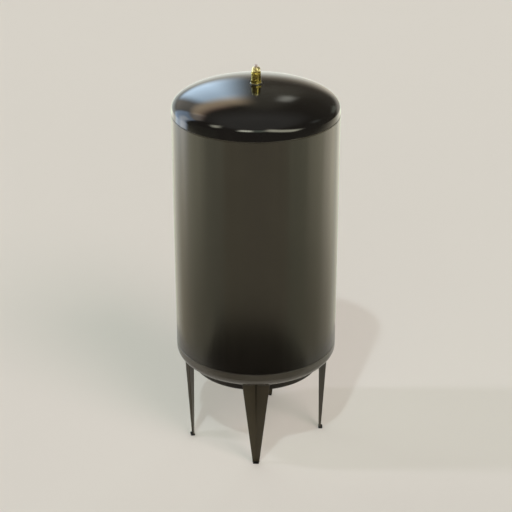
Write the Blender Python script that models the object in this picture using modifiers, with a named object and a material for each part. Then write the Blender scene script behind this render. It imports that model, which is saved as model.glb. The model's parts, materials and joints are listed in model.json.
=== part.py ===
"""Upright steel pressure vessel on four folded legs, with a brass air vent on its crown.

Run with: blender --background --python part.py
Units are metres, +Z is up, and the origin is on the floor under the vessel's axis.
The front of the vessel faces -Y.
"""
import math

import bmesh
import bpy
from mathutils import Vector

# Driving dimensions of the pressure body
BODY_RADIUS = 0.300
PLATE = 0.0035
LOWER_SEAM_Z = 0.4075
SHELL_HEIGHT = 0.900
HEAD_FLANGE = 0.022
HEAD_BULGE = 0.086
WELD_WIDTH = 0.005
WELD_CROWN = 0.0005

# Support ring under the lower head, and how low its bottom edge hangs
RING_RADIUS = 0.2396
RING_PLATE = 0.004
RING_BOTTOM_Z = 0.3101

# Legs: a tapered plate folded along its middle, with the valley outwards.
# Azimuths are seen from above, from the front, counted towards the right
LEG_AZIMUTHS = {"front": 0.0, "right": 90.0, "back": 168.0, "left": -78.0}
LEG_PLATE = 0.0025
LEG_FOLD_RADIUS = 0.2432
LEG_FOLD_SPREAD = 0.014
LEG_FOLD_ANGLE = math.radians(28.0)
LEG_TOP_Z = 0.358
LEG_TOP_HALF_WIDTH = 0.0505
LEG_FOOT_HALF_WIDTH = 0.0117

# Feet: a flat tab under the end of each leg, reaching outwards, with a fixing hole
FOOT_WIDTH = 0.0234
FOOT_INNER_RADIUS = 0.2446
FOOT_OUTER_RADIUS = 0.2602
FOOT_THICKNESS = 0.0045
FOOT_CORNER = 0.004
FOOT_CORNER_STEPS = 4
FOOT_HOLE_AT = 0.2562
FOOT_HOLE_RADIUS = 0.0025
FOOT_HOLE_STEPS = 16

# Air vent on the crown
SOCKET_RADIUS = 0.0195
SOCKET_BORE = 0.0125
SOCKET_PROUD = 0.004
SOCKET_DEPTH = 0.012
HEX_RADIUS = 0.0205
HEX_HEIGHT = 0.008
SPIGOT_DEPTH = 0.009
VENT_RADIUS = 0.017
VENT_HEIGHT = 0.031
VENT_CHAMFER = 0.0012
CAP_RADIUS = 0.0148
CAP_HEIGHT = 0.015
CAP_SHOULDER = 0.005
CAP_SHOULDER_STEPS = 4
PIN_RADIUS = 0.0058
PIN_HEIGHT = 0.009
PIN_CHAMFER = 0.001

# Pipe connection under the lower head
OUTLET_RADIUS = 0.024
OUTLET_BORE = 0.0165
OUTLET_INSIDE = 0.010
OUTLET_PROUD = 0.026

# Air between neighbouring pieces, and how finely round pieces are cut
GAP = 0.0003
BELLY_GAP = 0.0006
ROUND_STEPS = 64
SMALL_STEPS = 32
HEAD_ARC_POINTS = 11
MERGE = 0.00005

UPPER_SEAM_Z = LOWER_SEAM_Z + SHELL_HEIGHT
HEAD_HEIGHT = HEAD_FLANGE + HEAD_BULGE
CROWN_Z = UPPER_SEAM_Z + HEAD_HEIGHT
BELLY_Z = LOWER_SEAM_Z - HEAD_HEIGHT


def clear_scene():
    """Take every object out of the scene."""
    for obj in list(bpy.data.objects):
        bpy.data.objects.remove(obj, do_unlink=True)


def new_collection(name):
    collection = bpy.data.collections.new(name)
    bpy.context.scene.collection.children.link(collection)
    return collection


def finish(name, colour, roughness, metallic=0.0):
    """A plain Principled finish for one sub-part."""
    material = bpy.data.materials.new(name + "_finish")
    material.use_nodes = True
    shader = material.node_tree.nodes["Principled BSDF"]
    shader.inputs["Base Color"].default_value = (*colour, 1.0)
    shader.inputs["Roughness"].default_value = roughness
    shader.inputs["Metallic"].default_value = metallic
    return material


SATIN_BLACK = ((0.045, 0.040, 0.030), 0.45)
GLOSS_BLACK = ((0.012, 0.012, 0.012), 0.12)
FRAME_BLACK = ((0.035, 0.033, 0.024), 0.55)
FOOT_BLACK = ((0.012, 0.011, 0.009), 0.60)
DARK_BRASS = ((0.420, 0.330, 0.110), 0.30, 1.0)
PALE_BRASS = ((0.720, 0.640, 0.330), 0.28, 1.0)
PIN_METAL = ((0.620, 0.560, 0.530), 0.35, 1.0)


def add_piece(name, mesh, look, collection):
    """Put a mesh into the vessel as a named sub-part with its own finish."""
    obj = bpy.data.objects.new(name, mesh)
    collection.objects.link(obj)
    mesh.materials.append(finish(name, *look))
    return obj


def add_cutter(name, mesh, collection):
    """A helper solid that only cuts others, drawn as wire."""
    obj = bpy.data.objects.new(name, mesh)
    collection.objects.link(obj)
    obj.hide_render = True
    obj.display_type = "WIRE"
    return obj


def profile_mesh(name, points, closed):
    """A chain of edges in the XZ plane, from (radius, height) pairs."""
    mesh = bpy.data.meshes.new(name)
    edges = [(i, i + 1) for i in range(len(points) - 1)]
    if closed:
        edges.append((len(points) - 1, 0))
    mesh.from_pydata([(r, 0.0, z) for r, z in points], edges, [])
    return mesh


def spin_up(obj, steps):
    """Turn the object's profile a full circle about its own Z axis."""
    screw = obj.modifiers.new("turn", "SCREW")
    screw.axis = "Z"
    screw.angle = math.tau
    screw.steps = steps
    screw.render_steps = steps
    screw.use_merge_vertices = True
    screw.merge_threshold = MERGE
    return obj


def turned(name, points, look, collection, steps=ROUND_STEPS, closed=True):
    """A sub-part turned on the vessel's axis from a profile that runs down its outer side."""
    obj = add_piece(name, profile_mesh(name, points, closed), look, collection)
    return spin_up(obj, steps)


def combine(obj, helper, operation):
    """Join a helper solid to a sub-part, or cut it away."""
    step = obj.modifiers.new(helper.name, "BOOLEAN")
    step.operation = operation
    step.solver = "EXACT"
    step.object = helper


def cylinder_mesh(name, radius, bottom, top, steps):
    """An upright closed cylinder on the Z axis."""
    shape = bmesh.new()
    bmesh.ops.create_cone(shape, cap_ends=True, segments=steps, radius1=radius, radius2=radius,
                          depth=top - bottom)
    bmesh.ops.translate(shape, verts=shape.verts, vec=(0.0, 0.0, (top + bottom) / 2))
    mesh = bpy.data.meshes.new(name)
    shape.to_mesh(mesh)
    shape.free()
    return mesh


def head_arc(radius, bulge, inner_radius):
    """(radius, rise above the flange) pairs of a half-ellipse, from its hole to its rim."""
    start = math.acos(inner_radius / radius)
    angles = [start * (1 - i / HEAD_ARC_POINTS) for i in range(HEAD_ARC_POINTS + 1)]
    return [(radius * math.cos(a), bulge * math.sin(a)) for a in angles]


def head_profile(hole_radius):
    """One dished end, seen with its crown up and its rim at height 0, as a closed profile."""
    outer = head_arc(BODY_RADIUS, HEAD_BULGE, hole_radius)
    inner = head_arc(BODY_RADIUS - PLATE, HEAD_BULGE - PLATE, hole_radius)
    rim = WELD_WIDTH / 2
    points = [(r, HEAD_FLANGE + rise) for r, rise in outer]
    points.append((BODY_RADIUS, rim))
    points.append((BODY_RADIUS - PLATE, rim))
    points += [(r, HEAD_FLANGE + rise) for r, rise in reversed(inner)]
    return points


def belly_height(radius):
    """Height of the lower head's outer surface at a distance from the axis."""
    drop = HEAD_BULGE * math.sqrt(1 - (radius / BODY_RADIUS) ** 2)
    return LOWER_SEAM_Z - HEAD_FLANGE - drop


def make_pressure_body(parts):
    """Rolled shell, two dished ends and the two round welds that join them."""
    half_weld = WELD_WIDTH / 2
    inside = BODY_RADIUS - PLATE
    shell_top = UPPER_SEAM_Z - half_weld
    shell_bottom = LOWER_SEAM_Z + half_weld
    shell_wall = [(BODY_RADIUS, shell_top), (BODY_RADIUS, shell_bottom),
                  (inside, shell_bottom), (inside, shell_top)]
    turned("shell", shell_wall, SATIN_BLACK, parts)

    crown = head_profile(SOCKET_RADIUS + GAP)
    turned("top_head", [(r, UPPER_SEAM_Z + z) for r, z in crown], GLOSS_BLACK, parts)
    belly = head_profile(OUTLET_RADIUS + GAP)
    turned("bottom_head", [(r, LOWER_SEAM_Z - z) for r, z in reversed(belly)], SATIN_BLACK, parts)

    weld_half = half_weld - GAP
    bead = [(BODY_RADIUS, weld_half), (BODY_RADIUS + WELD_CROWN, 0.0), (BODY_RADIUS, -weld_half),
            (inside, -weld_half), (inside, weld_half)]
    for name, seam_z in (("top_girth_weld", UPPER_SEAM_Z), ("bottom_girth_weld", LOWER_SEAM_Z)):
        turned(name, [(r, seam_z + z) for r, z in bead], SATIN_BLACK, parts)


def make_support_ring(parts):
    """Rolled flat bar whose upper edge follows the lower head."""
    inner = RING_RADIUS - RING_PLATE
    wall = [(RING_RADIUS, belly_height(RING_RADIUS) - BELLY_GAP), (RING_RADIUS, RING_BOTTOM_Z),
            (inner, RING_BOTTOM_Z), (inner, belly_height(inner) - BELLY_GAP)]
    turned("support_ring", wall, FRAME_BLACK, parts)


def belly_cutter(cutters):
    """The space of the lower head with a gap all round, to trim the legs' upper edges."""
    wide = BODY_RADIUS + GAP
    arc = head_arc(wide, HEAD_BULGE + BELLY_GAP, 0.0)
    points = [(r, LOWER_SEAM_Z - HEAD_FLANGE - rise) for r, rise in reversed(arc)]
    points[-1] = (0.0, points[-1][1])
    points = [(0.0, LOWER_SEAM_Z), (wide, LOWER_SEAM_Z)] + points
    return spin_up(add_cutter("belly_space", profile_mesh("belly_space", points, False), cutters),
                   ROUND_STEPS)


def leg_wing_mesh():
    """Half of a leg plate, as one face between the fold and the outer edge.

    The face starts as a square; its lower and upper corners are moved to their places.
    """
    lower = (FOOT_THICKNESS + GAP, LEG_FOOT_HALF_WIDTH)
    upper = (LEG_TOP_Z, LEG_TOP_HALF_WIDTH)
    shape = bmesh.new()
    bmesh.ops.create_grid(shape, x_segments=1, y_segments=1, size=1.0)
    rise = math.tan(LEG_FOLD_ANGLE)
    for vert in shape.verts:
        height, half_width = upper if vert.co.y > 0 else lower
        across = half_width if vert.co.x > 0 else 0.0
        fold = LEG_FOLD_RADIUS + (BELLY_Z - height) * LEG_FOLD_SPREAD
        vert.co = Vector((fold + across * rise, across, height))
    mesh = bpy.data.meshes.new("leg_wing")
    shape.to_mesh(mesh)
    shape.free()
    return mesh


def make_leg(side, azimuth, belly, parts):
    """One folded leg plate, mirrored about its fold and trimmed to the lower head."""
    leg = add_piece("leg_" + side, leg_wing_mesh(), FRAME_BLACK, parts)
    leg.rotation_euler.z = azimuth
    mirror = leg.modifiers.new("other_wing", "MIRROR")
    mirror.use_axis = (False, True, False)
    mirror.merge_threshold = MERGE
    plate = leg.modifiers.new("plate", "SOLIDIFY")
    plate.thickness = LEG_PLATE
    plate.offset = -1.0
    plate.use_even_offset = True
    combine(leg, belly, "DIFFERENCE")


def foot_mesh():
    """A tab lying on the floor, with its two outer corners rounded."""
    length = FOOT_OUTER_RADIUS - FOOT_INNER_RADIUS
    middle = Vector((FOOT_INNER_RADIUS + length / 2, 0.0, FOOT_THICKNESS / 2))
    shape = bmesh.new()
    bmesh.ops.create_cube(shape, size=1.0)
    bmesh.ops.scale(shape, verts=shape.verts, vec=(length, FOOT_WIDTH, FOOT_THICKNESS))
    bmesh.ops.translate(shape, verts=shape.verts, vec=middle)
    corners = [edge for edge in shape.edges
               if all(vert.co.x > middle.x for vert in edge.verts)
               and abs(edge.verts[0].co.z - edge.verts[1].co.z) > FOOT_THICKNESS / 2]
    bmesh.ops.bevel(shape, geom=corners, offset=FOOT_CORNER, segments=FOOT_CORNER_STEPS,
                    affect="EDGES", profile=0.5)
    mesh = bpy.data.meshes.new("foot")
    shape.to_mesh(mesh)
    shape.free()
    return mesh


def make_foot(side, azimuth, parts, cutters):
    """One foot tab with its fixing hole."""
    foot = add_piece("foot_" + side, foot_mesh(), FOOT_BLACK, parts)
    foot.rotation_euler.z = azimuth
    drill_mesh = cylinder_mesh("drill_" + side, FOOT_HOLE_RADIUS, -FOOT_THICKNESS,
                               2 * FOOT_THICKNESS, FOOT_HOLE_STEPS)
    drill = add_cutter("drill_" + side, drill_mesh, cutters)
    drill.location = (FOOT_HOLE_AT * math.cos(azimuth), FOOT_HOLE_AT * math.sin(azimuth), 0.0)
    combine(foot, drill, "DIFFERENCE")


def make_vent(parts, cutters):
    """Welded socket, hexagon base with its spigot, body, cap and release pin, one on another."""
    socket_top = CROWN_Z + SOCKET_PROUD
    socket_bottom = CROWN_Z - SOCKET_DEPTH
    socket = [(SOCKET_RADIUS, socket_top), (SOCKET_RADIUS, socket_bottom),
              (SOCKET_BORE, socket_bottom), (SOCKET_BORE, socket_top)]
    turned("vent_socket", socket, PALE_BRASS, parts, SMALL_STEPS)

    hex_bottom = socket_top + GAP
    hex_top = hex_bottom + HEX_HEIGHT
    base = add_piece("vent_base", cylinder_mesh("vent_base", HEX_RADIUS, hex_bottom, hex_top, 6),
                     DARK_BRASS, parts)
    spigot_mesh = cylinder_mesh("vent_spigot", SOCKET_BORE - GAP, hex_bottom - SPIGOT_DEPTH,
                                hex_bottom + HEX_HEIGHT / 2, SMALL_STEPS)
    spigot = add_cutter("vent_spigot", spigot_mesh, cutters)
    combine(base, spigot, "UNION")

    body_bottom = hex_top + GAP
    body_top = body_bottom + VENT_HEIGHT
    narrow = VENT_RADIUS - VENT_CHAMFER
    body = [(0.0, body_top), (narrow, body_top), (VENT_RADIUS, body_top - VENT_CHAMFER),
            (VENT_RADIUS, body_bottom + VENT_CHAMFER), (narrow, body_bottom),
            (0.0, body_bottom)]
    turned("vent_body", body, DARK_BRASS, parts, SMALL_STEPS, closed=False)

    cap_bottom = body_top + GAP
    shoulder_z = cap_bottom + CAP_HEIGHT - CAP_SHOULDER
    cap = [(0.0, cap_bottom + CAP_HEIGHT)]
    for step in range(CAP_SHOULDER_STEPS + 1):
        turn = math.radians(90 * (1 - step / CAP_SHOULDER_STEPS))
        cap.append((CAP_RADIUS - CAP_SHOULDER + CAP_SHOULDER * math.cos(turn),
                    shoulder_z + CAP_SHOULDER * math.sin(turn)))
    cap += [(CAP_RADIUS, cap_bottom), (0.0, cap_bottom)]
    turned("vent_cap", cap, PALE_BRASS, parts, SMALL_STEPS, closed=False)

    pin_bottom = cap_bottom + CAP_HEIGHT + GAP
    pin_top = pin_bottom + PIN_HEIGHT
    pin = [(0.0, pin_top), (PIN_RADIUS - PIN_CHAMFER, pin_top), (PIN_RADIUS, pin_top - PIN_CHAMFER),
           (PIN_RADIUS, pin_bottom), (0.0, pin_bottom)]
    turned("vent_pin", pin, PIN_METAL, parts, SMALL_STEPS, closed=False)


def make_outlet(parts):
    """Threaded pipe socket through the middle of the lower head."""
    top = BELLY_Z + OUTLET_INSIDE
    bottom = BELLY_Z - OUTLET_PROUD
    wall = [(OUTLET_RADIUS, top), (OUTLET_RADIUS, bottom), (OUTLET_BORE, bottom), (OUTLET_BORE, top)]
    turned("bottom_socket", wall, FRAME_BLACK, parts, SMALL_STEPS)


def main():
    clear_scene()
    parts = new_collection("pressure_vessel")
    cutters = new_collection("cutters")
    make_pressure_body(parts)
    make_support_ring(parts)
    belly = belly_cutter(cutters)
    for side, degrees in LEG_AZIMUTHS.items():
        azimuth = math.radians(degrees - 90)
        make_leg(side, azimuth, belly, parts)
        make_foot(side, azimuth, parts, cutters)
    make_vent(parts, cutters)
    make_outlet(parts)


main()
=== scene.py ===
# %% [markdown]
# # An upright pressure vessel, dressed for the camera
#
# This file is a lesson in cells. The construction of the vessel is already there: it comes in as a
# fixed frame of plain solids. Here each solid is given the finish, the rounded edges and the weld
# beads of the real vessel, then a floor, a studio and a camera. Read the text cell before each step
# first, then run the code cell below it.

# %% Load the fixed frame
import json
import math

import bmesh
import bpy
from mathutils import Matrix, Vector

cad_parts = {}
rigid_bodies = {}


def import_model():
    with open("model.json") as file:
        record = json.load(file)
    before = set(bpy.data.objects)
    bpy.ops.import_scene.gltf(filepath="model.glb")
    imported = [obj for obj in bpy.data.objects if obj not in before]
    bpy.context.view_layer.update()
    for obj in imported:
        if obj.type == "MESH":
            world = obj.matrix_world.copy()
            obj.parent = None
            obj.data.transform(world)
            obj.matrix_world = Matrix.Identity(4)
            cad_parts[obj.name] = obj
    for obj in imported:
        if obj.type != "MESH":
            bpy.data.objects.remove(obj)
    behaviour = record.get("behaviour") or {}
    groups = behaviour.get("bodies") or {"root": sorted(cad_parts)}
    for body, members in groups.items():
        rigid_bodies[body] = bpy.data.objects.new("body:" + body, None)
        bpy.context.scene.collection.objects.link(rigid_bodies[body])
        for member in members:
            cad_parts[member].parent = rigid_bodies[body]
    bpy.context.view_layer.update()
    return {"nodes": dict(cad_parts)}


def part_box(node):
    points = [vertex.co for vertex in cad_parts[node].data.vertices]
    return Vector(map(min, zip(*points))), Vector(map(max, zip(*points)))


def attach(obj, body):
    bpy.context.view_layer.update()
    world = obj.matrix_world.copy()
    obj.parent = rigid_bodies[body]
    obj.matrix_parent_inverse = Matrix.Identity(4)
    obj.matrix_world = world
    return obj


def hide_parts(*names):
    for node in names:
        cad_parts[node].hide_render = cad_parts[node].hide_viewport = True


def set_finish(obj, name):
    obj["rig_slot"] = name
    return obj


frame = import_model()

print("nodes in the frame:", len(frame["nodes"]))

# %% [markdown]
# ## Sizes
#
# The frame says how large everything is, so the sizes are read from it and not typed again. A
# node's box gives its lowest and highest corner. The vessel stands on its own axis, so half the
# width of a round node is its radius. The few sizes that the boxes can't give, such as the
# thickness of the plate, are named here.

# %% Sizes that come from the frame
shell_low, shell_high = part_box("shell")
RADIUS = shell_high.x
LOWER_SEAM = sum(corner.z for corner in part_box("bottom_girth_weld")) / 2
UPPER_SEAM = sum(corner.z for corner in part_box("top_girth_weld")) / 2
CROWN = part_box("top_head")[1].z
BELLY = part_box("bottom_head")[0].z
PLATE = 0.0035
FLANGE = 0.022
GAP = 0.0003
print(f"radius {RADIUS:.3f}, seams at {LOWER_SEAM:.4f} and {UPPER_SEAM:.4f}, belly {BELLY:.4f}")

# %% [markdown]
# ## Three hands for the workbench
#
# Blender's modelling operators work on whatever is selected, just as your hands do in the window.
# When a script uses them, the selection has to be certain. So one helper lets go of everything, one
# takes hold of a single piece, and one picks vertices, edges or faces of it by where they are.
# Every later step is built from these.

# %% Let go, take hold and choose
MERGE = 0.00001


def let_go():
    """Leave edit mode and deselect every object."""
    if bpy.context.object and bpy.context.object.mode != "OBJECT":
        bpy.ops.object.mode_set(mode="OBJECT")
    bpy.ops.object.select_all(action="DESELECT")


def hold(piece, mode="OBJECT"):
    """Make one piece the only selected object, and open it in a mode."""
    let_go()
    piece.select_set(True)
    bpy.context.view_layer.objects.active = piece
    bpy.ops.object.mode_set(mode=mode)


def choose(piece, kind, test):
    """In edit mode, select the vertices, edges or faces of a piece that pass a test."""
    bpy.ops.mesh.select_mode(type=kind)
    bpy.ops.mesh.select_all(action="DESELECT")
    shape = bmesh.from_edit_mesh(piece.data)
    shape.normal_update()
    everything = {"VERT": shape.verts, "EDGE": shape.edges, "FACE": shape.faces}[kind]
    chosen = [part for part in everything if test(part)]
    for part in chosen:
        part.select_set(True)
    bmesh.update_edit_mesh(piece.data)
    return len(chosen)


let_go()

# %% [markdown]
# ## The camera
#
# The photograph looks straight at the axis of the vessel, from a little above the top of it and
# downwards, with a long lens. A camera that is set first gives every later step the same picture to
# be judged against. Its distance and height follow from how the two round seams flatten into
# ellipses, one more than the other.

# %% Set the camera
CAMERA_PLACE = Vector((0.0, -4.8758, 3.0769))
CAMERA_TILT = math.radians(64.425)
LENS = 102.5

camera_data = bpy.data.cameras.new("camera")
camera_data.lens = LENS
camera = bpy.data.objects.new("camera", camera_data)
camera.location = CAMERA_PLACE
camera.rotation_euler = (CAMERA_TILT, 0.0, 0.0)
bpy.context.scene.collection.objects.link(camera)
bpy.context.scene.camera = camera
print(f"camera {CAMERA_PLACE.length:.2f} m from the floor's middle, lens {LENS} mm")

# %% [markdown]
# ## Outlines that are turned
#
# Most of a pressure vessel is round about one upright axis, so most pieces are made as on a lathe:
# draw half of the cross-section, then turn it a full circle. The outline starts as a small plane
# that is merged to one corner and extruded from corner to corner. Spin turns it, the seam where it
# meets itself is merged, and only then are the normals set, because a spun shape can come out
# inside out.

# %% Draw an outline and turn it
def draw_outline(name, corners):
    """Draw a chain of edges through (radius, height) corners, in an upright plane."""
    let_go()
    (radius, height) = corners[0]
    bpy.ops.mesh.primitive_plane_add(size=PLATE, location=(radius, 0.0, height))
    piece = bpy.context.object
    piece.name = piece.data.name = name
    bpy.ops.object.transform_apply()
    bpy.ops.object.mode_set(mode="EDIT")
    bpy.ops.mesh.select_mode(type="VERT")
    bpy.ops.mesh.select_all(action="SELECT")
    bpy.ops.mesh.merge(type="CENTER")
    for (r_from, z_from), (r_to, z_to) in zip(corners, corners[1:]):
        step = (r_to - r_from, 0.0, z_to - z_from)
        bpy.ops.mesh.extrude_region_move(TRANSFORM_OT_translate={"value": step})
    return piece


def turn(name, corners, steps):
    """Turn an outline about the vessel's axis into one closed skin."""
    piece = draw_outline(name, corners)
    bpy.ops.mesh.select_all(action="SELECT")
    bpy.ops.mesh.spin(steps=steps, angle=math.tau, center=(0.0, 0.0, 0.0), axis=(0.0, 0.0, 1.0))
    bpy.ops.mesh.select_all(action="SELECT")
    bpy.ops.mesh.remove_doubles(threshold=MERGE)
    bpy.ops.mesh.normals_make_consistent(inside=False)
    let_go()
    return piece


print(f"the lathe is ready and merges what lies within {MERGE * 1000:.2f} mm")

# %% [markdown]
# ## Soft edges
#
# No edge on a painted steel vessel is razor sharp. Plate edges are ground, and paint rounds them
# further, so each edge catches a thin line of light. A Bevel modifier that only takes sharp angles
# does this in one go. It is applied at once, so the piece is a plain mesh afterwards. Smooth
# shading would then lean the large faces towards the small ones of the bevel, so Weighted Normal
# follows: it lets the large faces decide, and they stay true.

# %% Round the sharp edges of a piece
SHARP = math.radians(30)
SMOOTH = math.radians(50)


def smooth(piece, angle=SMOOTH):
    """Smooth the small angles of a piece and keep its large faces true."""
    hold(piece)
    bpy.ops.object.shade_smooth_by_angle(angle=angle)
    weighted = piece.modifiers.new("true", "WEIGHTED_NORMAL")
    weighted.keep_sharp = True
    weighted.weight = 100
    bpy.ops.object.modifier_apply(modifier=weighted.name)
    return piece


def soften(piece, width, segments=2):
    """Round the sharp edges of a piece, then smooth it."""
    hold(piece)
    bevel = piece.modifiers.new("soften", "BEVEL")
    bevel.width = width
    bevel.segments = segments
    bevel.limit_method = "ANGLE"
    bevel.angle_limit = SHARP
    bpy.ops.object.modifier_apply(modifier=bevel.name)
    return smooth(piece)


print(f"edges sharper than {math.degrees(SHARP):.0f} degrees get rounded")

# %% [markdown]
# ## Fitting a piece to the vessel
#
# A finished piece has to travel with the vessel, and the plain solid that it stands for has to step
# aside. They are kept together in one helper, which also says how many faces it got.

# %% Fit a piece in place of its solids
def fit(piece, slot, *nodes):
    """Let a piece ride on the vessel, take its finish's slot, and stand for its CAD nodes."""
    let_go()
    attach(piece, "root")
    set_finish(piece, slot)
    if nodes:
        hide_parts(*nodes)
    print(f"{piece.name}: {len(piece.data.polygons)} faces, stands for {nodes or 'nothing'}")
    return piece


print("solids that wait for a finished piece:", len(frame["nodes"]))

# %% [markdown]
# ## The rolled shell
#
# The shell is one steel plate rolled into a tube. A cylinder without its end caps gives the outer
# skin, with far more steps than the solid has, so its outline and its reflections stay smooth.
# Solidify gives the plate its thickness inwards, and the soft edges at both ends form the shallow
# grooves that the round welds sit in.

# %% Roll the shell
ROUND_STEPS = 192
GROOVE = 0.0006

let_go()
shell_height = shell_high.z - shell_low.z
bpy.ops.mesh.primitive_cylinder_add(vertices=ROUND_STEPS, radius=RADIUS, depth=shell_height,
                                    end_fill_type="NOTHING",
                                    location=(0.0, 0.0, (shell_low.z + shell_high.z) / 2))
shell = bpy.context.object
shell.name = shell.data.name = "rolled_shell"
bpy.ops.object.transform_apply()
wall = shell.modifiers.new("plate", "SOLIDIFY")
wall.thickness = PLATE
wall.offset = -1.0
bpy.ops.object.modifier_apply(modifier=wall.name)
soften(shell, GROOVE)
fit(shell, "satin_enamel", "shell")

# %% [markdown]
# ## The dished ends
#
# Each end is a plate pressed into a half ellipse, with a short straight flange. Subdividing a low
# dome would pull it inwards, so the curve is drawn point by point as a true ellipse, outer skin and
# inner skin, with the hole for the socket left open at the crown. The lower end is the same outline
# with its heights turned over. The press draws the flange of the upper end in by a hair as it
# rises, and this lean is what makes its gloss mirror a darker height.

# %% Press the two dished ends
CURVE_POINTS = 40
FLANGE_LEAN = math.radians(5)
WELD_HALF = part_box("top_head")[0].z - UPPER_SEAM
BULGE = CROWN - UPPER_SEAM - FLANGE


def dish_curve(radius, bulge, hole, lean):
    """(radius, rise) points of a half ellipse, from its hole to where it meets the flange."""
    start = math.acos(hole / radius)
    end = math.atan(math.tan(lean) * bulge / radius)
    turns = [end + (start - end) * (1 - i / CURVE_POINTS) for i in range(CURVE_POINTS + 1)]
    return [(radius * math.cos(t), bulge * math.sin(t)) for t in turns]


def press_end(name, hole, seam, side, lean=0.0):
    """One dished end, with its crown up for side 1 and down for side -1."""
    drawn_in = FLANGE * math.tan(lean)
    outer = dish_curve(RADIUS - drawn_in, BULGE, hole, lean)
    inner = dish_curve(RADIUS - drawn_in - PLATE, BULGE - PLATE, hole, lean)
    outline = [(r, FLANGE + rise) for r, rise in outer]
    outline += [(RADIUS, WELD_HALF), (RADIUS - PLATE, WELD_HALF)]
    outline += [(r, FLANGE + rise) for r, rise in reversed(inner)]
    outline.append(outline[0])
    return soften(turn(name, [(r, seam + side * z) for r, z in outline], ROUND_STEPS), GROOVE)


socket_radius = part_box("vent_socket")[1].x
outlet_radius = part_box("bottom_socket")[1].x
upper_end = press_end("upper_end", socket_radius + GAP, UPPER_SEAM, 1, FLANGE_LEAN)
lower_end = press_end("lower_end", outlet_radius + GAP, LOWER_SEAM, -1)
fit(upper_end, "gloss_enamel", "top_head")
fit(lower_end, "satin_enamel", "bottom_head")

# %% [markdown]
# ## The round welds
#
# A machine lays the bead that joins an end to the shell while the vessel turns slowly, so the bead
# is even, with a fine ripple across it for every pulse. It is turned as a narrow ring with a low
# crown. Then every second slice of its crown is chosen and drawn in a little towards the axis,
# which leaves the ripples standing.

# %% Lay the round welds
RIPPLE_PITCH = 0.0065
RIPPLE_DEPTH = 0.00022
BEAD_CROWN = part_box("top_girth_weld")[1].x - RADIUS
BEAD_ARC = [math.radians(angle) for angle in (90, 55, 25, 0, -25, -55, -90)]


def lay_bead(name, seam):
    """One rippled bead around the shell, with its root at the inner skin."""
    half = WELD_HALF - GAP
    arc = [(RADIUS + BEAD_CROWN * math.cos(t), half * math.sin(t)) for t in BEAD_ARC]
    outline = arc + [(RADIUS - PLATE, -half), (RADIUS - PLATE, half), arc[0]]
    ripples = round(math.tau * RADIUS / RIPPLE_PITCH)
    bead = turn(name, [(r, seam + z) for r, z in outline], 2 * ripples)
    hold(bead, "EDIT")
    slice_angle = math.pi / ripples

    def in_a_dip(vert):
        crown = vert.co.xy.length > RADIUS + MERGE
        return crown and round(math.atan2(vert.co.y, vert.co.x) / slice_angle) % 2 == 1

    dips = choose(bead, "VERT", in_a_dip)
    shrink = 1 - RIPPLE_DEPTH / RADIUS
    bpy.ops.transform.resize(value=(shrink, shrink, 1.0), center_override=(0.0, 0.0, seam))
    print(f"{ripples} ripples, {dips} corners drawn in")
    return smooth(bead)


fit(lay_bead("upper_bead", UPPER_SEAM), "weld_enamel", "top_girth_weld")
fit(lay_bead("lower_bead", LOWER_SEAM), "weld_enamel", "bottom_girth_weld")

# %% [markdown]
# ## The support ring
#
# A flat bar, rolled into a ring, is welded under the lower end and carries the legs. Its upper edge
# is cut to the curve of the end, so the outline needs the height of the belly at the two radii of
# the bar.

# %% Roll the support ring
RING_PLATE = 0.004
BELLY_GAP = 0.0006
EDGE = 0.0005
ring_low, ring_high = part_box("support_ring")
ring_radius = ring_high.x


def belly_at(radius):
    """Height of the lower end's outer skin at a distance from the axis."""
    return LOWER_SEAM - FLANGE - BULGE * math.sqrt(1 - (radius / RADIUS) ** 2)


inner = ring_radius - RING_PLATE
ring_outline = [(ring_radius, belly_at(ring_radius) - BELLY_GAP), (ring_radius, ring_low.z),
                (inner, ring_low.z), (inner, belly_at(inner) - BELLY_GAP)]
ring = turn("support_band", ring_outline + ring_outline[:1], ROUND_STEPS)
fit(soften(ring, EDGE), "frame_enamel", "support_ring")

# %% [markdown]
# ## Hand welds
#
# A bead laid by hand joins each leg to the belly and each foot tab to its leg. It could be drawn
# anew, but the edge that it follows is already there on the plate. So that edge is copied, parted
# from the plate and made into a curve with a round section, which gives a tube along any path.
# Noise then roughens the tube, because a hand is less even than a machine.

# %% Run a bead of weld along chosen edges
LEG_BEAD = 0.0020
FOOT_BEAD = 0.0010
HAND_WELD = 0.0009
HAND_WELD_SCALE = 0.006
FACES_UP = 0.7
FACES_DOWN = -0.9
FOOT_ZONE = 0.01

bead_noise = bpy.data.textures.new("hand_weld", "CLOUDS")
bead_noise.noise_scale = HAND_WELD_SCALE


def rim_test(is_cut_face):
    """A test for edges that part the cut faces of a plate from its other faces."""
    return lambda edge: sum(is_cut_face(face) for face in edge.link_faces) == 1


touches_belly = rim_test(
    lambda face: face.normal.z > FACES_UP and face.calc_center_median().z > BELLY)
touches_foot = rim_test(
    lambda face: face.normal.z < FACES_DOWN and face.calc_center_median().z < FOOT_ZONE)


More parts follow.
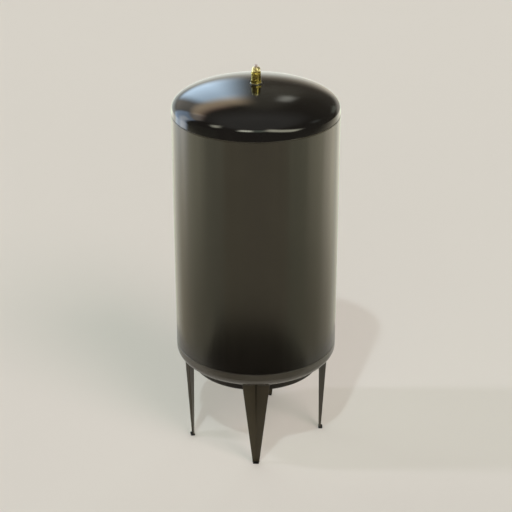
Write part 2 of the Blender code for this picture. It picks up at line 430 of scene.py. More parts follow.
def run_bead(piece, name, test, radius):
    """A hand weld along the edges of a piece that pass a test."""
    hold(piece, "EDIT")
    choose(piece, "EDGE", test)
    bpy.ops.mesh.duplicate()
    bpy.ops.mesh.separate(type="SELECTED")
    bpy.ops.object.mode_set(mode="OBJECT")
    bead = next(new for new in bpy.context.selected_objects if new != piece)
    bead.name = bead.data.name = name
    hold(bead)
    bpy.ops.object.convert(target="CURVE")
    bead.data.bevel_depth = radius
    bead.data.bevel_resolution = 3
    bpy.ops.object.convert(target="MESH")
    hold(bead, "EDIT")
    bpy.ops.mesh.select_all(action="SELECT")
    bpy.ops.mesh.subdivide(number_cuts=2)
    hold(bead)
    rough = bead.modifiers.new("rough", "DISPLACE")
    rough.texture = bead_noise
    rough.strength = HAND_WELD * radius / LEG_BEAD
    bpy.ops.object.modifier_apply(modifier=rough.name)
    bpy.ops.object.shade_smooth()
    return fit(bead, "weld_enamel")


print(f"bead radius {LEG_BEAD * 1000:.0f} mm at the legs, {FOOT_BEAD * 1000:.0f} mm at the feet")

# %% [markdown]
# ## The legs and feet
#
# Each leg is one tapered plate that a press has folded along its middle, and each foot is a small
# tab under it. Their shapes are right in the frame, but their edges are sharp and a press can't
# make a sharp fold. So a copy of the solid is merged, its flat faces are joined up again, and the
# fold is chosen and rounded more than the rest. The fold is found by its place: it lies on the line
# from the axis through the middle of the leg, so the helper needs the bearing of each leg, seen
# from above and counted from the front towards the right.

# %% Copy the folded legs and round their folds
BEARINGS = {"front": 0.0, "right": 90.0, "back": 168.0, "left": -78.0}
FLAT = math.radians(0.6)
FOLD = 0.0035
ON_FOLD = 0.0004


def copy_solid(node, name):
    """A new piece with its own merged copy of a solid's mesh."""
    piece = bpy.data.objects.new(name, frame["nodes"][node].data.copy())
    bpy.context.scene.collection.objects.link(piece)
    piece.data.name = name
    piece.data.materials.clear()
    hold(piece, "EDIT")
    bpy.ops.mesh.select_all(action="SELECT")
    bpy.ops.mesh.remove_doubles(threshold=MERGE)
    bpy.ops.mesh.dissolve_limited(angle_limit=FLAT)
    return piece


def across_leg(side):
    """The level direction across a leg, at right angles to the line from the axis."""
    bearing = math.radians(BEARINGS[side])
    return Vector((math.cos(bearing), math.sin(bearing)))


def fold_leg(side):
    """One leg plate with a rounded fold."""
    leg = copy_solid("leg_" + side, "folded_leg_" + side)
    across = across_leg(side)

    def is_fold(edge):
        ends = [vert.co for vert in edge.verts]
        on_middle = all(abs(end.xy.dot(across)) < ON_FOLD for end in ends)
        return on_middle and abs(ends[0].z - ends[1].z) > PLATE

    folds = choose(leg, "EDGE", is_fold)
    bpy.ops.mesh.bevel(offset=FOLD, segments=4, affect="EDGES", profile=0.5, clamp_overlap=True)
    print(f"leg_{side}: {folds} fold edges rounded")
    return leg


for side in BEARINGS:
    leg = fold_leg(side)
    run_bead(leg, "leg_top_weld_" + side, touches_belly, LEG_BEAD)
    run_bead(leg, "leg_foot_weld_" + side, touches_foot, FOOT_BEAD)
    fit(soften(leg, EDGE), "frame_enamel", "leg_" + side)
    foot = soften(copy_solid("foot_" + side, "foot_tab_" + side), EDGE)
    fit(foot, "foot_enamel", "foot_" + side)

# %% [markdown]
# ## The welds around the ring and the sockets
#
# Where a round part stands on a dished end, a fillet of weld fills the corner between them. In
# section it is a small triangle with a bulging face: one side against the part, one against the
# end. The same turned outline serves for the ring below, the pipe socket below and the vent's
# socket above, with the surface given as a function.

# %% Turn the fillets of weld
FILLET_STEPS = 96
FILLET_BULGE = 0.16
FILLET_POINTS = (0.0, 0.2, 0.4, 0.6, 0.8, 1.0)
FILLET_CALM = 4  # a fillet is this many times less rough than a hand weld
BURIED = 0.0004
RING_FILLET = 0.0045
OUTLET_FILLET = 0.004
VENT_FILLET = 0.003


def crown_at(radius):
    """Height of the upper end's outer skin at a distance from the axis."""
    return UPPER_SEAM + FLANGE + BULGE * math.sqrt(1 - (radius / RADIUS) ** 2)


def turn_fillet(name, radius, surface, side, size):
    """A fillet around a part of a radius, above the surface for side 1, below it for side -1."""
    top = Vector((radius, surface(radius) + side * size))
    toe = Vector((radius + size, surface(radius + size)))
    out = Vector((size, side * size)) * FILLET_BULGE
    face = [top.lerp(toe, t) + out * 4 * t * (1 - t) for t in FILLET_POINTS]
    root = (radius - BURIED, surface(radius) - side * BURIED)
    outline = [tuple(point) for point in face] + [root, tuple(face[0])]
    fillet = turn(name, outline, FILLET_STEPS)
    hold(fillet)
    rough = fillet.modifiers.new("rough", "DISPLACE")
    rough.texture = bead_noise
    rough.strength = HAND_WELD * size / LEG_BEAD / FILLET_CALM
    bpy.ops.object.modifier_apply(modifier=rough.name)
    return fit(smooth(fillet), "weld_enamel")


turn_fillet("ring_fillet", ring_radius, belly_at, -1, RING_FILLET)
turn_fillet("outlet_fillet", outlet_radius, belly_at, -1, OUTLET_FILLET)
turn_fillet("vent_fillet", socket_radius, crown_at, 1, VENT_FILLET)

# %% [markdown]
# ## The pipe socket below
#
# A pipe socket is a short thick sleeve with a thread inside. It can be seen only from below, so
# plain rings stand in for the winding thread: the outline of the bore steps in and out by the depth
# of the thread at every pitch.

# %% Turn the pipe socket
outlet_low, outlet_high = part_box("bottom_socket")
OUTLET_BORE = 0.0165
THREAD_PITCH = 0.0023
THREAD_DEPTH = 0.0011
THREAD_FORM = ((0.15, 0.0), (0.5, 1.0), (0.85, 0.0))
LEAD_IN = 0.0012
SMALL_STEPS = 96

outline = [(outlet_radius - EDGE, outlet_high.z), (outlet_radius, outlet_high.z - EDGE),
           (outlet_radius, outlet_low.z + EDGE), (outlet_radius - EDGE, outlet_low.z),
           (OUTLET_BORE + LEAD_IN, outlet_low.z), (OUTLET_BORE, outlet_low.z + LEAD_IN)]
turns = int((outlet_high.z - outlet_low.z - 2 * LEAD_IN) / THREAD_PITCH)
for i in range(turns):
    height = outlet_low.z + LEAD_IN + i * THREAD_PITCH
    outline += [(OUTLET_BORE + depth * THREAD_DEPTH, height + share * THREAD_PITCH)
                for share, depth in THREAD_FORM]
outline += [(OUTLET_BORE, outlet_high.z), outline[0]]
outlet = turn("pipe_socket", outline, SMALL_STEPS)
fit(smooth(outlet, SHARP), "frame_enamel", "bottom_socket")
print(turns, "rings of thread")

# %% [markdown]
# ## The air vent's socket and hexagon
#
# On the crown stands a small brass air vent. It screws into a short welded socket. Its base is a
# hexagon for a spanner, modelled from a six-sided cylinder: the lower face is inset and extruded
# down as the plug that sits in the socket, and the corners are cut off by bevelling vertices, which
# is how a hexagon's chamfer looks from afar.

# %% Turn the socket and shape the hexagon
vent_low, vent_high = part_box("vent_socket")
SOCKET_BORE = 0.0125
SOCKET_EDGE = 0.0008
outline = [(socket_radius, vent_high.z), (socket_radius, vent_low.z),
           (SOCKET_BORE, vent_low.z), (SOCKET_BORE, vent_high.z), (socket_radius, vent_high.z)]
boss = turn("vent_boss", outline, SMALL_STEPS)
fit(soften(boss, SOCKET_EDGE, 3), "pale_brass", "vent_socket")

HEX_CORNER = 0.0016
HEX_HALF_SIDE = math.radians(30)
base_low, base_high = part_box("vent_base")
hex_radius = base_high.y
hex_low = vent_high.z + GAP
let_go()
bpy.ops.mesh.primitive_cylinder_add(vertices=6, radius=hex_radius, depth=base_high.z - hex_low,
                                    location=(0.0, 0.0, (base_high.z + hex_low) / 2))
hexagon = bpy.context.object
hexagon.name = hexagon.data.name = "vent_hexagon"
bpy.ops.object.transform_apply()
hold(hexagon, "EDIT")
choose(hexagon, "FACE", lambda face: face.normal.z < FACES_DOWN)
flat_width = hex_radius * math.cos(HEX_HALF_SIDE)
plug_width = (SOCKET_BORE - GAP) * math.cos(HEX_HALF_SIDE)
bpy.ops.mesh.inset(thickness=flat_width - plug_width)
plug_step = (0.0, 0.0, base_low.z - hex_low)
bpy.ops.mesh.extrude_region_move(TRANSFORM_OT_translate={"value": plug_step})
corners = choose(hexagon, "VERT", lambda vert: vert.co.xy.length > hex_radius - MERGE)
bpy.ops.mesh.bevel(offset=HEX_CORNER, segments=1, affect="VERTICES")
fit(soften(hexagon, GAP), "dark_brass", "vent_base")
print(corners, "corners of the hexagon cut off")

# %% [markdown]
# ## The air vent's body, cap and pin
#
# The body is a turned brass pot with fine grooves, the cap above it has a domed top and a knurled
# side for the fingers, and the pin on top of it has a dimple. All are turned. The knurl is made
# like the ripples of the welds: every second slice of the cap's side is chosen and drawn in.

# %% Turn the body with its grooves
body_low, body_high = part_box("vent_body")
BODY_EDGE = 0.0012
GROOVE_WIDTH = 0.0010
GROOVE_DEPTH = 0.0005
GROOVES_AT = (0.88, 0.80, 0.14)
GROOVE_SOFT = 0.00012
body_radius = body_high.x
outline = [(0.0, body_high.z), (body_radius - BODY_EDGE, body_high.z),
           (body_radius, body_high.z - BODY_EDGE)]
for share in GROOVES_AT:
    height = body_low.z + share * (body_high.z - body_low.z)
    outline += [(body_radius, height + GROOVE_WIDTH),
                (body_radius - GROOVE_DEPTH, height + GROOVE_WIDTH / 2), (body_radius, height)]
outline += [(body_radius, body_low.z + BODY_EDGE), (body_radius - BODY_EDGE, body_low.z),
            (0.0, body_low.z)]
body = turn("vent_pot", outline, SMALL_STEPS)
fit(soften(body, GROOVE_SOFT, 1), "dark_brass", "vent_body")

# %% Turn the knurled cap and the pin
cap_low, cap_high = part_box("vent_cap")
SHOULDER = 0.005
KNURL_DEPTH = 0.00035
KNURL_EDGE = 0.0012
cap_radius = cap_high.x
shoulder_at = cap_high.z - SHOULDER
dome = [math.radians(angle) for angle in range(90, -1, -9)]
outline = [(0.0, cap_high.z)]
outline += [(cap_radius - SHOULDER + SHOULDER * math.cos(t), shoulder_at + SHOULDER * math.sin(t))
            for t in dome]
outline += [(cap_radius, shoulder_at - KNURL_EDGE), (cap_radius, cap_low.z + 2 * KNURL_EDGE),
            (cap_radius, cap_low.z + KNURL_EDGE / 2), (cap_radius - KNURL_EDGE / 2, cap_low.z),
            (0.0, cap_low.z)]
cap = turn("vent_lid", outline, SMALL_STEPS)
hold(cap, "EDIT")
slice_angle = math.tau / SMALL_STEPS


def in_the_knurl(vert):
    """Is a corner on every second slice of the cap's side?"""
    on_side = cap_low.z + KNURL_EDGE < vert.co.z < shoulder_at - KNURL_EDGE / 2
    odd = round(math.atan2(vert.co.y, vert.co.x) / slice_angle) % 2 == 1
    return on_side and odd and vert.co.xy.length > cap_radius - MERGE


ribs = choose(cap, "VERT", in_the_knurl)
shrink = 1 - KNURL_DEPTH / cap_radius
bpy.ops.transform.resize(value=(shrink, shrink, 1.0), center_override=(0.0, 0.0, cap_low.z))
fit(smooth(cap, SHARP), "pale_brass", "vent_cap")

pin_low, pin_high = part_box("vent_pin")
PIN_EDGE = 0.001
PIN_SOFT = 0.0002
pin_radius = pin_high.x
outline = [(0.0, pin_high.z - PIN_EDGE), (pin_radius / 3, pin_high.z - PIN_EDGE),
           (pin_radius / 2, pin_high.z), (pin_radius - PIN_EDGE, pin_high.z),
           (pin_radius, pin_high.z - PIN_EDGE), (pin_radius, pin_low.z + GAP),
           (pin_radius - GAP, pin_low.z), (0.0, pin_low.z)]
fit(soften(turn("vent_stem", outline, SMALL_STEPS), PIN_SOFT), "pin_metal", "vent_pin")
print(ribs, "corners drawn in for the knurl")

# %% [markdown]
# ## How a finish is put together
#
# A finish is a small network of nodes that ends in one shader. All of these finishes read the
# object's own coordinates in metres, so a pattern has its real size and stays where it is when the
# vessel is seen from the side. One helper adds a node and sets it up; another starts a finish; a
# third makes a grain of noise that can be stretched along an axis. What is the same all over a
# surface is set on the shader's own sockets.

# %% Add a node, start a finish, make a grain
WEAR_SCALE = 220.0
WEAR_BREAK = 0.04


def add(tree, kind, inputs, **settings):
    """Add a node to a tree; an input is either a plain value or the output of another node."""
    node = tree.nodes.new(kind)
    for name, value in settings.items():
        setattr(node, name, value)
    for name, value in inputs.items():
        if isinstance(value, bpy.types.NodeSocket):
            tree.links.new(value, node.inputs[name])
        else:
            node.inputs[name].default_value = value
    return node


def start_finish(name, **sockets):
    """A new material whose shader has its plain sockets set."""
    material = bpy.data.materials.new(name)
    material.use_nodes = True
    shader = material.node_tree.nodes["Principled BSDF"]
    for socket, value in sockets.items():
        shader.inputs[socket.replace("_", " ")].default_value = value
    return material, material.node_tree, shader


def own_place(tree):
    """The object's own coordinates in metres."""
    return add(tree, "ShaderNodeTexCoord", {}).outputs["Object"]


def grain(tree, scale, stretch=(1.0, 1.0, 1.0), detail=2.0):
    """Noise between 0 and 1 on the object's own coordinates, in cells of 1 / scale metres."""
    shape = add(tree, "ShaderNodeMapping", {"Vector": own_place(tree), "Scale": stretch})
    noise = {"Vector": shape.outputs["Vector"], "Scale": scale, "Detail": detail}
    return add(tree, "ShaderNodeTexNoise", noise).outputs["Fac"]


def spread(tree, value, low, high, start=0.3, end=0.7):
    """Spread the middle of a grain between two numbers."""
    return add(tree, "ShaderNodeMapRange", {"Value": value, "From Min": start, "From Max": end,
                                            "To Min": low, "To Max": high}).outputs["Result"]


def blend_colours(tree, share, one, other):
    """A colour between two, by a share that varies over the surface."""
    mix = add(tree, "ShaderNodeMix", {}, data_type="RGBA")
    for socket, value in ((mix.inputs[6], one), (mix.inputs[7], other)):
        if isinstance(value, bpy.types.NodeSocket):
            tree.links.new(value, socket)
        else:
            socket.default_value = (*value, 1.0)
    tree.links.new(share, mix.inputs[0])
    return mix.outputs[2]


def raise_surface(tree, layers):
    """Bumps on top of each other, from (height, distance) pairs; the last one is the normal."""
    normal = None
    for height, distance in layers:
        inputs = {"Height": height, "Distance": distance}
        if normal:
            inputs["Normal"] = normal
        normal = add(tree, "ShaderNodeBump", inputs).outputs["Normal"]
    return normal


def wear(tree, inner, outer):
    """1 on rounded outer edges and 0 on flat faces, from how pointed the surface is."""
    pointed = add(tree, "ShaderNodeNewGeometry", {}).outputs["Pointiness"]
    broken = spread(tree, grain(tree, WEAR_SCALE, detail=4.0), -WEAR_BREAK, WEAR_BREAK)
    edge = add(tree, "ShaderNodeMath", {0: pointed, 1: broken}, operation="ADD").outputs[0]
    return spread(tree, edge, 0.0, 1.0, inner, outer)


def close_finish(material, tree, shader, colour, roughness, normal):
    """Join the varying colour, roughness and normal to the shader."""
    tree.links.new(colour, shader.inputs["Base Color"])
    tree.links.new(roughness, shader.inputs["Roughness"])
    tree.links.new(normal, shader.inputs["Normal"])
    print(material.name, "has", len(tree.nodes), "nodes")
    return material


print("finishes mixed so far:", len(bpy.data.materials))

# %% [markdown]
# ## Enamel on the shell, the ends, the welds and the frame
#
# The vessel is stoved black. The crown has run to a deep gloss, the shell has a little less, and
# the folded plate parts are duller and more olive. One enamel recipe serves them all: two near
# tones in slow clouds, faint upright streaks where the paint ran, an orange-peel surface with cells
# of a millimetre or two, a slow sway of the plate under it, and small bare spots where an edge is
# worn. The legs also get a painted shade: a dark line in the valley of the fold. The recipe takes
# its numbers from a short table with one row for each finish.

# %% Mix the enamels
ENAMELS = {
    # finish: (dark tone, light tone,
    #          lowest and highest roughness, shine, peel height, sway height)
    "satin_enamel": ((0.0040, 0.0035, 0.0025), (0.0060, 0.0052, 0.0038),
                     0.18, 0.23, 0.5, 0.0000025, 0.00003),
    "lower_enamel": ((0.0350, 0.0320, 0.0240), (0.0470, 0.0440, 0.0340),
                     0.16, 0.22, 0.5, 0.0000025, 0.00003),
    "gloss_enamel": ((0.0040, 0.0040, 0.0042), (0.0062, 0.0060, 0.0058),
                     0.07, 0.11, 0.5, 0.000002, 0.00004),
    "weld_enamel": ((0.0090, 0.0080, 0.0055), (0.0180, 0.0165, 0.0120),
                    0.28, 0.40, 0.5, 0.000010, 0.00003),
    "frame_enamel": ((0.0195, 0.0150, 0.0055), (0.0270, 0.0210, 0.0090),
                     0.34, 0.48, 0.35, 0.000012, 0.00005),
    # painted shade: the frame's enamel made darker, as if the belly shaded the ring
    "shaded_ring_enamel": ((0.0065, 0.0052, 0.0024), (0.0110, 0.0090, 0.0045),
                    0.34, 0.48, 0.30, 0.000012, 0.00005),
    "foot_enamel": ((0.0025, 0.0022, 0.0017), (0.0050, 0.0045, 0.0033),
                    0.50, 0.68, 0.2, 0.000015, 0.00003),
}
BARE_STEEL = (0.090, 0.082, 0.070)
# painted shade in the valley of a fold: its colour, and the heights over which it fades
VALLEY_PAINTED_SHADE = (0.0010, 0.0008, 0.0005)
VALLEY_SHADE_FADE = (0.14, 0.30)
WORN_EDGES = (0.60, 0.66)
CLOUD_SCALE = 9.0
PEEL_SCALE = 620.0
SWAY_SCALE = 7.0
STREAK = (60.0, 60.0, 1.6)


def painted_shade_of_fold(tree):
    """Painted shade: 1 in the valley of a fold, close under the belly, and 0 elsewhere."""
    valley = add(tree, "ShaderNodeAttribute", {}, attribute_name="valley").outputs["Fac"]
    height = add(tree, "ShaderNodeSeparateXYZ", {"Vector": own_place(tree)}).outputs["Z"]
    both = {0: valley, 1: spread(tree, height, 0.0, 1.0, *VALLEY_SHADE_FADE)}
    return add(tree, "ShaderNodeMath", both, operation="MULTIPLY").outputs[0]


def mix_enamel(name):
    """One enamel from the table."""
    dark, light, sleek, dull, shine, peel, sway = ENAMELS[name]
    material, tree, shader = start_finish(name, IOR=1.5, Specular_IOR_Level=shine)
    cloud = spread(tree, grain(tree, CLOUD_SCALE, detail=4.0), 0.0, 1.0)
    colour = blend_colours(tree, cloud, dark, light)
    colour = blend_colours(tree, wear(tree, *WORN_EDGES), colour, BARE_STEEL)
    # painted shade: the valley of the fold is darkened and loses its shine
    if name == "frame_enamel":
        valley = painted_shade_of_fold(tree)
        colour = blend_colours(tree, valley, colour, VALLEY_PAINTED_SHADE)
        shaded_shine = spread(tree, valley, shine, 0.0, 0.0, 1.0)
        tree.links.new(shaded_shine, shader.inputs["Specular IOR Level"])
    roughness = spread(tree, grain(tree, 1.0, STREAK, 3.0), sleek, dull)
    bumps = [(grain(tree, SWAY_SCALE), sway), (grain(tree, PEEL_SCALE), peel)]
    return close_finish(material, tree, shader, colour, roughness, raise_surface(tree, bumps))


FINISHES = {name: mix_enamel(name) for name in ENAMELS}

# %% [markdown]
# ## Brass and steel on the air vent
#
# Turned brass shows the fine rings that the tool leaves, so its bump and its roughness follow noise
# that is squeezed along the axis into thin level lines. The pot has dulled to a dark gold with
# stains, while the lid and the ring of the socket are still pale and bright. The pin is a pinkish
# plain metal with a softer grain.

# %% Mix the metals
METALS = {
    # slot: (stained tone, clean tone, lowest and highest roughness, depth of the tool's lines)
    "dark_brass": ((0.18, 0.14, 0.023), (0.68, 0.56, 0.15), 0.16, 0.34, 0.000012),
    "pale_brass": ((0.64, 0.55, 0.20), (0.92, 0.86, 0.50), 0.18, 0.36, 0.000010),
    "pin_metal": ((0.52, 0.44, 0.43), (0.74, 0.66, 0.66), 0.30, 0.50, 0.000008),
}
TOOL_LINES = (40.0, 40.0, 2600.0)
STAIN_SCALE = 190.0
STAIN_EDGE = (0.38, 0.60)
RUBBED_EDGES = (0.54, 0.60)


def mix_metal(slot):
    """One turned metal from the table."""
    stained, clean, sleek, dull, lines_depth = METALS[slot]
    material, tree, shader = start_finish(slot, Metallic=1.0)
    unstained = spread(tree, grain(tree, STAIN_SCALE, detail=5.0), 0.0, 1.0, *STAIN_EDGE)
    colour = blend_colours(tree, unstained, stained, clean)
    colour = blend_colours(tree, wear(tree, *RUBBED_EDGES), colour, clean)
    lines = grain(tree, 1.0, TOOL_LINES, 3.0)
    roughness = spread(tree, lines, sleek, dull)
    normal = raise_surface(tree, [(lines, lines_depth)])
    return close_finish(material, tree, shader, colour, roughness, normal)


FINISHES.update({slot: mix_metal(slot) for slot in METALS})

# %% [markdown]
# ## Put each finish on its pieces
#
# Most finishes have the name of their slot. Two pieces have one of their own: the lower end, which
# is paler than the shell, and the support ring, which is blacker than the legs: a painted shade, as
# if the belly shaded it. The valley of each fold holds a thin line of painted shade, which fades
# downwards. A number on each corner of the leg's mesh says how close the corner is to the fold, and
# the enamel reads that number as an attribute.

# %% Mark the valleys of the folds
VALLEY = 0.0026
for side in BEARINGS:
    leg = bpy.data.objects["folded_leg_" + side].data
    across = across_leg(side)
    closeness = [max(0.0, 1 - abs(vert.co.xy.dot(across)) / VALLEY) for vert in leg.vertices]
    leg.attributes.new("valley", "FLOAT", "POINT").data.foreach_set("value", closeness)
    print("corners in the valley of the", side, "leg:", sum(share > 0 for share in closeness))

# %% Hand out the finishes
# the ring's own finish is a painted shade, a darker copy of the frame's enamel
OWN_FINISH = {lower_end.name: "lower_enamel", ring.name: "shaded_ring_enamel"}
dressed = 0
for piece in bpy.data.objects:
    if piece.type == "MESH" and "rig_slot" in piece:
        piece.data.materials.clear()
        piece.data.materials.append(FINISHES[OWN_FINISH.get(piece.name, piece["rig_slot"])])
        dressed += 1
print(dressed, "pieces have their finish")

# %% [markdown]
# ## The floor
#
# The vessel stands on a plain pale floor that runs far behind it. It belongs to the stage and not
# to the vessel. The part near the vessel is a round plate, and its rim is extruded and scaled out
# into the rest. The two are then parted, because gloss should mirror only the near floor: what lies
# further out is painted on the room instead. Both are pale and matt, with a faint cloudiness so
# that they don't look like paper.

# %% Lay the floor
NEAR_FLOOR = 1.0
FAR_FLOOR = 30.0
FLOOR_COLOUR = (0.800, 0.775, 0.715)
FLOOR_CLOUD_SCALE = 1.3
FLOOR_CLOUD_LIFT = 1.004
FLOOR_SHEEN_SCALE = 30.0
FLOOR_GRAIN_SCALE = 240.0
FLOOR_GRAIN_HEIGHT = 0.00002

let_go()
bpy.ops.mesh.primitive_circle_add(vertices=64, radius=NEAR_FLOOR, fill_type="NGON")
near_floor = bpy.context.object
near_floor.name = "near_floor"
hold(near_floor, "EDIT")
choose(near_floor, "EDGE", lambda edge: True)
bpy.ops.mesh.duplicate()
bpy.ops.mesh.delete(type="ONLY_FACE")
choose(near_floor, "EDGE", lambda edge: not edge.link_faces)
bpy.ops.mesh.extrude_region_move(TRANSFORM_OT_translate={"value": (0.0, 0.0, 0.0)})
far_scale = FAR_FLOOR / NEAR_FLOOR
bpy.ops.transform.resize(value=(far_scale, far_scale, 1.0), center_override=(0.0, 0.0, 0.0))
choose(near_floor, "FACE", lambda face: face.calc_center_median().length > NEAR_FLOOR)
bpy.ops.mesh.separate(type="SELECTED")
bpy.ops.object.mode_set(mode="OBJECT")
far_floor = next(new for new in bpy.context.selected_objects if new != near_floor)
far_floor.name = "far_floor"
far_floor.visible_glossy = False
print("floor faces, near and far:", len(near_floor.data.polygons), len(far_floor.data.polygons))
material, tree, shader = start_finish("pale_floor", Specular_IOR_Level=0.0)
cloud = spread(tree, grain(tree, FLOOR_CLOUD_SCALE), 0.0, 1.0)
lifted = [share * FLOOR_CLOUD_LIFT for share in FLOOR_COLOUR]
floor_tone = blend_colours(tree, cloud, FLOOR_COLOUR, lifted)
roughness = spread(tree, grain(tree, FLOOR_SHEEN_SCALE), 0.85, 0.95)
normal = raise_surface(tree, [(grain(tree, FLOOR_GRAIN_SCALE), FLOOR_GRAIN_HEIGHT)])
close_finish(material, tree, shader, floor_tone, roughness, normal)
for floor in (near_floor, far_floor):
    floor.data.materials.append(material)

# %% [markdown]
# ## A dark card in front
#
# Low on the front of the shell the gloss turns dark, because something dark lies on the floor
# there, in front of the picture. A black card does the same, flat on the floor, and only
# reflections can see it. Its shape comes from the shape of the dark patch in the shell: a wide
# crescent, drawn corner by corner and filled with one face.

# %% Lay the dark card
CARD_HEIGHT = 0.002
CARD_OUTLINE = [
    (-0.98, -0.30), (-1.00, -0.55), (-1.07, -0.82), (-0.93, -1.08), (-0.64, -1.32),
    (-0.35, -1.44), (-0.05, -1.48), (0.30, -1.44), (0.62, -1.29), (0.82, -1.05),
    (0.93, -0.80), (0.95, -0.55), (0.92, -0.35), (0.78, -0.47), (0.55, -0.60),
    (0.25, -0.68), (-0.05, -0.70), (-0.35, -0.68), (-0.65, -0.60), (-0.85, -0.45),
]
NAP_SCALE = 300.0
FELT_SCALE = 900.0
FELT_HEIGHT = 0.0002

card_mesh = bpy.data.meshes.new("dark_card")
corners = [(x, y, CARD_HEIGHT) for x, y in CARD_OUTLINE]
card_mesh.from_pydata(corners, [], [list(range(len(corners)))])
card = bpy.data.objects.new("dark_card", card_mesh)
bpy.context.scene.collection.objects.link(card)
material, tree, shader = start_finish("black_felt", Specular_IOR_Level=0.0)
nap = spread(tree, grain(tree, NAP_SCALE), 0.0, 1.0)
felt = blend_colours(tree, nap, (0.002, 0.002, 0.002), (0.004, 0.004, 0.004))
roughness = spread(tree, nap, 0.9, 1.0)
normal = raise_surface(tree, [(grain(tree, FELT_SCALE), FELT_HEIGHT)])
card_mesh.materials.append(close_finish(material, tree, shader, felt, roughness, normal))
for sight in ("camera", "diffuse", "transmission", "volume_scatter", "shadow"):
    setattr(card, "visible_" + sight, False)

# %% [markdown]
# ## The lamps
#
# Three lamps light the vessel, as the three shadows on the floor tell: where a shadow points is
# where its lamp is not, and how soft its edge is says how large the lamp is. A sun lamp has both as
# plain numbers, a direction and an angle, so each lamp is a sun with a bearing counted from the
# front and a height above the horizon.

# %% Hang the lamps
LAMPS = {
    # name: (bearing, height, angle across, strength of red, green and blue)
    "front_lamp": (-17.0, 57.0, 1.8, (0.356, 0.423, 0.464)),
    "soft_lamp": (38.0, 44.0, 28.0, (0.816, 0.628, 0.659)),
    "side_lamp": (-90.0, 53.0, 3.0, (0.251, 0.233, 0.277)),
}


def hang_lamp(name, bearing, height, angle, strengths):
    """One sun lamp that shines from a bearing and a height, both in degrees."""
    data = bpy.data.lights.new(name, "SUN")
    data.energy = max(strengths)
    data.color = [share / max(strengths) for share in strengths]
    data.angle = math.radians(angle)
    lamp = bpy.data.objects.new(name, data)
    lamp.rotation_euler = (math.radians(90.0 - height), 0.0, math.radians(bearing))
    lamp.visible_glossy = False
    bpy.context.scene.collection.objects.link(lamp)


for name, numbers in LAMPS.items():
    hang_lamp(name, *numbers)
print(len(LAMPS), "lamps hung")

# %% [markdown]
# ## The room around
#
# Gloss shows the room. The crown mirrors a pale ceiling, a blue window behind on the left with a
# warm frame above it, and dimmer walls. The room is painted on the world, by direction: each patch
# has a bearing, a height, a width and a soft edge. What lights the floor is simpler, an even pale
# light, so the world gives that to everything but reflections. The floor that lies beyond the near
# plate is painted too, in sectors around the vessel.

# %% Find the bearing and height of a direction
world = bpy.data.worlds.new("room")
bpy.context.scene.world = world
world.use_nodes = True
room = world.node_tree
room.nodes.clear()


def calculate(operation, *values):
    """One step of arithmetic on the world's values."""
    return add(room, "ShaderNodeMath", dict(enumerate(values)), operation=operation).outputs[0]


direction = add(room, "ShaderNodeTexCoord", {}).outputs["Generated"]
parts = add(room, "ShaderNodeSeparateXYZ", {"Vector": direction})
forward = calculate("MULTIPLY", parts.outputs["Y"], -1.0)
bearing_here = calculate("ARCTAN2", parts.outputs["X"], forward)
height_here = calculate("ARCSINE", parts.outputs["Z"])


def patch_mask(bearing, half_width, height, half_height, soft, tilt):
    """1 inside a patch of the room and 0 outside, with a soft edge; all numbers are degrees."""
    aside = calculate("SUBTRACT", bearing_here, math.radians(bearing))
    aside = calculate("WRAP", aside, math.pi, -math.pi)
    above = calculate("SUBTRACT", height_here, math.radians(height))
    cos, sin = math.cos(math.radians(tilt)), math.sin(math.radians(tilt))

    def turned(operation, one, other):
        """One axis of the tilted patch."""
        one, other = calculate("MULTIPLY", one, cos), calculate("MULTIPLY", other, sin)
        return calculate(operation, one, other)

    along, across = turned("ADD", aside, above), turned("SUBTRACT", above, aside)
    mask = None
    for distance, half in ((along, half_width), (across, half_height)):
        fade = {"Value": calculate("ABSOLUTE", distance), "To Min": 1.0, "To Max": 0.0,
                "From Min": math.radians(half - soft), "From Max": math.radians(half + soft)}
        edge = add(room, "ShaderNodeMapRange", fade, interpolation_type="SMOOTHSTEP")
        edge = edge.outputs["Result"]
        mask = calculate("MULTIPLY", mask, edge) if mask else edge
    return mask


def paint(base, patches):
    """A colour by direction: a base and the patches on top of it."""
    total = add(room, "ShaderNodeCombineXYZ", dict(zip("XYZ", base))).outputs[0]
    for place, colour in patches:
        share = {0: colour, "Scale": patch_mask(*place)}
        tint = add(room, "ShaderNodeVectorMath", share, operation="SCALE").outputs[0]
        sum_of_both = {0: total, 1: tint}
        total = add(room, "ShaderNodeVectorMath", sum_of_both, operation="ADD").outputs[0]
    return total


print(len(room.nodes), "nodes find where a ray of the world comes from")

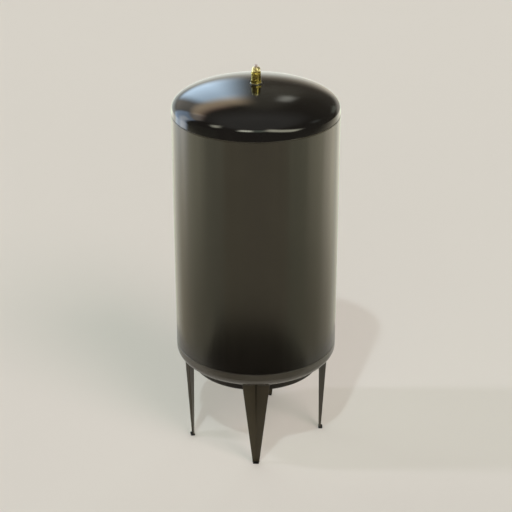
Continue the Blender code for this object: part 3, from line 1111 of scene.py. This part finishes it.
# %% Paint the room on the world
ROUND = 400.0
LIGHT_BASE = (0.0, 0.0, 0.0)
LIGHT_PATCHES = [
    # ((bearing, half width, height, half height, soft edge, tilt), colour)
    ((0.0, ROUND, 8.0, 14.0, 8.0, 0.0), (1.79, 1.43, 1.42)),
    ((-165.0, 50.0, 8.0, 14.0, 8.0, 0.0), (4.25, 4.90, 4.54)),
    ((0.0, 30.0, 8.0, 14.0, 8.0, 0.0), (1.43, 1.67, 1.60)),
    ((90.0, 40.0, 8.0, 14.0, 8.0, 0.0), (0.65, 1.19, 0.78)),
    ((0.0, 40.0, 55.0, 20.0, 8.0, 0.0), (0.24, 0.33, 0.16)),
]
ROOM_BASE = (0.12, 0.10, 0.07)
ROOM_PATCHES = [
    # overhead and in front: the ceiling and the faces of the lamps
    ((0.0, ROUND, 85.0, 28.0, 13.0, 0.0), (0.28, 0.28, 0.27)),
    ((-17.0, 10.5, 46.5, 7.0, 5.5, 0.0), (8.60, 8.70, 7.10)),
    ((4.0, 9.0, 46.5, 9.0, 6.0, 0.0), (0.95, 1.15, 0.90)),
    ((39.0, 28.0, 33.0, 9.0, 8.0, -48.0), (6.00, 5.90, 4.60)),
    ((-72.0, 10.0, 47.5, 6.0, 5.0, -38.0), (4.20, 4.15, 3.30)),
    # behind: a window with a warm frame above it, a curtain and a second window at the left
    ((-167.6, 7.9, 22.0, 12.5, 4.7, 0.0), (2.25, 2.95, 3.65)),
    ((-155.0, 21.5, 40.2, 4.7, 4.5, 8.0), (2.10, 1.62, 1.08)),
    ((-142.0, 26.0, 46.5, 3.0, 3.0, 6.0), (0.32, 0.17, 0.14)),
    ((-148.0, 10.0, 24.0, 15.0, 5.0, 0.0), (0.63, 0.60, 0.54)),
    ((-121.0, 16.0, 8.0, 27.0, 4.0, 0.0), (1.30, 1.75, 2.35)),
    ((-115.0, 7.0, 2.0, 24.0, 5.0, 0.0), (1.60, 1.45, 1.20)),
    ((-122.0, 15.0, 42.0, 6.0, 5.0, -5.0), (1.70, 1.50, 1.30)),
    ((-160.0, 26.0, -6.0, 12.0, 6.0, 0.0), (0.82, 0.90, 0.87)),
    # behind on the right: a dim wall with one small bright spot
    ((156.0, 18.0, -6.0, 13.0, 7.0, 0.0), (0.72, 0.68, 0.60)),
    ((177.0, 8.0, 36.0, 14.0, 6.0, 0.0), (0.15, 0.145, 0.115)),
    ((178.0, 14.0, 0.0, 12.0, 5.0, 0.0), (0.35, 0.30, 0.23)),
    ((139.0, 8.0, 15.0, 5.0, 4.0, 0.0), (0.36, 0.40, 0.34)),
    ((170.9, 2.2, 34.6, 3.2, 2.0, 0.0), (1.25, 1.25, 1.12)),
    ((101.0, 7.0, 35.0, 6.0, 5.0, 0.0), (0.28, 0.31, 0.30)),
    ((-80.0, 28.0, 0.0, 16.0, 7.0, 0.0), (0.06, 0.07, 0.05)),
    # below: the floor between the plate and the walls
    ((0.0, ROUND, -62.0, 29.5, 2.5, 0.0), (0.56, 0.44, 0.21)),
]
# the floor further out, by bearing: its nearer part and, on top of that, what the further part adds
NEAR_GLOW = {
    -180: (0.58, 0.72, 0.54), -150: (0.85, 0.82, 0.68), -120: (0.69, 0.63, 0.46),
    -90: (0.58, 0.55, 0.40), -60: (0.71, 0.68, 0.49), -30: (0.77, 0.69, 0.47),
    0: (0.79, 0.69, 0.48), 30: (0.75, 0.66, 0.46), 60: (0.66, 0.64, 0.45),
    90: (0.57, 0.53, 0.38), 120: (0.69, 0.63, 0.48), 150: (0.85, 0.82, 0.68),
}
FURTHER_GLOW = {
    -180: (0.23, 0.35, 0.23), -150: (0.49, 0.48, 0.39), -120: (0.67, 0.61, 0.45),
    -90: (1.59, 1.53, 1.12), -60: (0.64, 0.63, 0.46), -30: (0.32, 0.28, 0.20),
    0: (0.20, 0.19, 0.14), 30: (0.30, 0.28, 0.20), 60: (0.68, 0.67, 0.47),
    90: (1.57, 1.48, 1.08), 120: (1.89, 1.75, 1.38), 150: (0.49, 0.48, 0.39),
}
SECTOR = 15.0
NEAR_BAND = (-24.0, 9.0, 2.5, 0.0)
FURTHER_BAND = (-20.5, 3.5, 4.5, 0.0)
for glows, band in ((NEAR_GLOW, NEAR_BAND), (FURTHER_GLOW, FURTHER_BAND)):
    ROOM_PATCHES += [((bearing, SECTOR, *band), glow) for bearing, glow in glows.items()]

seen = add(room, "ShaderNodeBackground", {"Color": paint(ROOM_BASE, ROOM_PATCHES)})
light = add(room, "ShaderNodeBackground", {"Color": paint(LIGHT_BASE, LIGHT_PATCHES)})
gloss = add(room, "ShaderNodeLightPath", {}).outputs["Is Glossy Ray"]
both = add(room, "ShaderNodeMixShader", {0: gloss, 1: light.outputs[0], 2: seen.outputs[0]})
add(room, "ShaderNodeOutputWorld", {"Surface": both.outputs[0]})
print(len(ROOM_PATCHES), "patches for gloss and", len(LIGHT_PATCHES), "for light")

# %% [markdown]
# ## The end: colours
#
# The Standard view shows the scene's colours as they are, with no film curve on top, so a colour
# can be checked by its numbers.

# %% Set the view of the colours
bpy.context.scene.view_settings.view_transform = "Standard"
